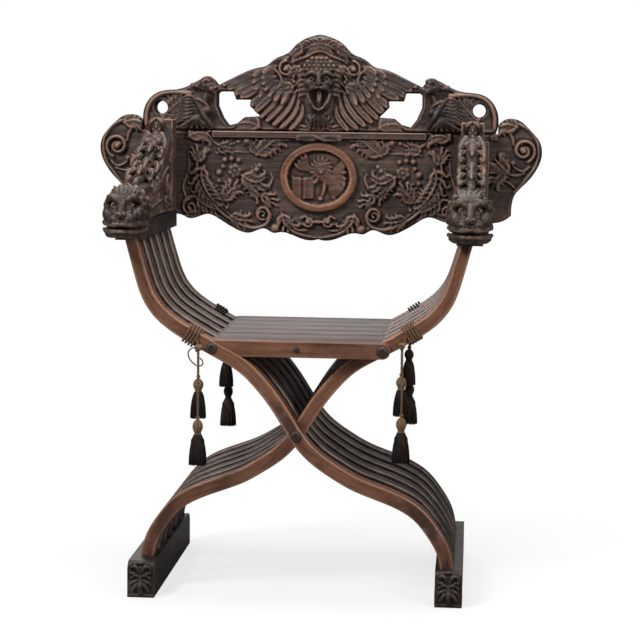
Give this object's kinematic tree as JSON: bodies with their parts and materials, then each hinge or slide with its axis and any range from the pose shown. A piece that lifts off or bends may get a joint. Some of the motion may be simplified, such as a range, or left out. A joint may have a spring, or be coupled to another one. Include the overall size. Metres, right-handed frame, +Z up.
{
  "type": "savonarola chair",
  "caption": "Folding X-frame armchair of curved wooden ribs with a slatted seat, carved arms and feet, and a carved back board that lifts off.",
  "frame": {"origin": "centre of the bounding box on the floor", "axes": "+Z up, +X to the viewer's right from the front, front faces -Y"},
  "size_m": [0.829, 0.495, 0.968],
  "materials": {
    "walnut": "waxed, worn",
    "dark_walnut": "waxed, nearly black",
    "seat_walnut": "dry, worn grey-brown",
    "red_walnut": "polished by wear",
    "cord": "faded silk",
    "tassel": "faded silk"
  },
  "bodies": {
    "left_frame": {"left_rib_1": "walnut", "left_rib_2": "walnut", "left_rib_3": "walnut", "left_rib_4": "walnut", "left_rib_5": "walnut", "left_rib_6": "walnut", "left_arm_rail": "dark_walnut", "left_arm_scroll": "dark_walnut", "left_lion_head": "dark_walnut", "left_back_post": "dark_walnut", "right_foot": "dark_walnut", "left_seat_rod": "walnut", "left_frame_pegs": "walnut", "left_cord_wraps": "cord", "pivot_rod": "walnut"},
    "right_frame": {"right_rib_1": "walnut", "right_rib_2": "walnut", "right_rib_3": "walnut", "right_rib_4": "walnut", "right_rib_5": "walnut", "right_rib_6": "walnut", "right_arm_rail": "dark_walnut", "right_arm_scroll": "dark_walnut", "right_lion_head": "dark_walnut", "right_back_post": "dark_walnut", "left_foot": "dark_walnut", "right_seat_rod": "walnut", "right_frame_pegs": "walnut", "right_cord_wraps": "cord"},
    "left_seat": {"left_slat_1": "seat_walnut", "left_slat_2": "seat_walnut", "left_slat_3": "seat_walnut", "left_slat_4": "seat_walnut", "left_slat_5": "seat_walnut", "left_slat_6": "seat_walnut"},
    "right_seat": {"right_slat_1": "seat_walnut", "right_slat_2": "seat_walnut", "right_slat_3": "seat_walnut", "right_slat_4": "seat_walnut", "right_slat_5": "seat_walnut", "right_slat_6": "seat_walnut", "centre_pins": "walnut"},
    "back": {"back_panel": "dark_walnut", "crest_board": "dark_walnut", "crest_mask": "dark_walnut", "top_moulding": "dark_walnut", "medallion": "red_walnut", "back_cleats": "dark_walnut", "crest_dowels": "walnut", "left_figure": "dark_walnut", "right_figure": "dark_walnut"},
    "left_front_pair": {"left_front_tassel_cords": "cord", "left_front_tassels": "tassel"},
    "left_rear_pair": {"left_rear_tassel_cords": "cord", "left_rear_tassels": "tassel"},
    "right_front_pair": {"right_front_tassel_cords": "cord", "right_front_tassels": "tassel"},
    "right_rear_pair": {"right_rear_tassel_cords": "cord", "right_rear_tassels": "tassel"}
  },
  "joints": [
    {"name": "fold", "type": "hinge", "parent": "left_frame", "child": "right_frame", "pos_m": [0, 0.009, 0.283], "axis": [0, -1, 0], "range_deg": [0, 50]},
    {"name": "left_seat_hinge", "type": "hinge", "parent": "left_frame", "child": "left_seat", "pos_m": [-0.144, 0.009, 0.43], "axis": [0, -1, 0], "range_deg": [0, 87]},
    {"name": "right_seat_hinge", "type": "hinge", "parent": "right_frame", "child": "right_seat", "pos_m": [0.144, 0.009, 0.43], "axis": [0, 1, 0], "range_deg": [0, 87]},
    {"name": "back_lift", "type": "slide", "parent": "left_frame", "child": "back", "axis": [0, 0, 1], "range_m": [0, 0.12]},
    {"name": "left_front_swing", "type": "hinge", "parent": "left_frame", "child": "left_front_pair", "pos_m": [-0.1641, -0.1829, 0.4321], "axis": [0, -1, 0], "range_deg": [-20, 20]},
    {"name": "left_rear_swing", "type": "hinge", "parent": "left_frame", "child": "left_rear_pair", "pos_m": [-0.1641, 0.1701, 0.4321], "axis": [0, -1, 0], "range_deg": [-20, 20]},
    {"name": "right_front_swing", "type": "hinge", "parent": "right_frame", "child": "right_front_pair", "pos_m": [0.1764, -0.1521, 0.4389], "axis": [0, -1, 0], "range_deg": [-40, 0]},
    {"name": "right_rear_swing", "type": "hinge", "parent": "right_frame", "child": "right_rear_pair", "pos_m": [0.1764, 0.2009, 0.4389], "axis": [0, -1, 0], "range_deg": [-40, 0]}
  ],
  "couplings": [
    {"joint": "left_seat_hinge", "follows": "fold", "ratio": 1.733},
    {"joint": "right_seat_hinge", "follows": "fold", "ratio": 1.733},
    {"joint": "right_front_swing", "follows": "fold", "ratio": -0.8},
    {"joint": "right_rear_swing", "follows": "fold", "ratio": -0.8}
  ]
}
